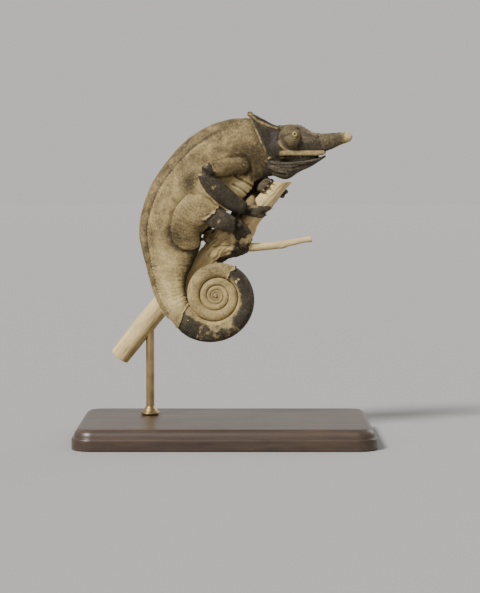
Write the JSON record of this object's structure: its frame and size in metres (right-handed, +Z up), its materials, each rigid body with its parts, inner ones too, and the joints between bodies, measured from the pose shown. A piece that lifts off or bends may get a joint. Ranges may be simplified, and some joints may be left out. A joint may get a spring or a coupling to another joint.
{
  "type": "chameleon model",
  "caption": "Life-size horned chameleon with a coiled tail and shedding skin, gripping a cut branch that a rod holds over a flat display base.",
  "frame": {"origin": "middle of the underside of the display base, on the surface it stands on", "axes": "+Z is up; +X is the way the snout and horn point; +Y is the animal's left side"},
  "size_m": [0.128, 0.084, 0.1414],
  "materials": {
    "pale_skin": "dry, granular old skin, matt",
    "dark_skin": "fresh scaly skin, faint sheen",
    "horn_skin": "scaly horn, faint sheen",
    "eye": "wet gloss",
    "bark": "dry, partly peeled wood",
    "stand_wood": "dark satin wood",
    "stand_metal": "dull satin"
  },
  "bodies": {
    "root": {"head": "dark_skin", "lower_jaw": "dark_skin", "horn": "horn_skin", "eye_turret_right": "dark_skin", "eye_turret_left": "dark_skin", "eyeball_right": "eye", "eyeball_left": "eye", "neck": "pale_skin", "chest": "pale_skin", "belly": "pale_skin", "pelvis": "pale_skin", "tail_root": "pale_skin", "tail_outer": "pale_skin", "tail_inner": "pale_skin", "upper_arm_right": "pale_skin", "upper_arm_left": "pale_skin", "forearm_right": "dark_skin", "forearm_left": "dark_skin", "hand_right": "dark_skin", "hand_left": "dark_skin", "thigh_right": "pale_skin", "thigh_left": "pale_skin", "shank_right": "dark_skin", "shank_left": "dark_skin", "foot_right": "dark_skin", "foot_left": "dark_skin", "branch": "bark", "twig": "bark", "stand_base": "stand_wood", "stand_rod": "stand_metal"}
  },
  "joints": []
}
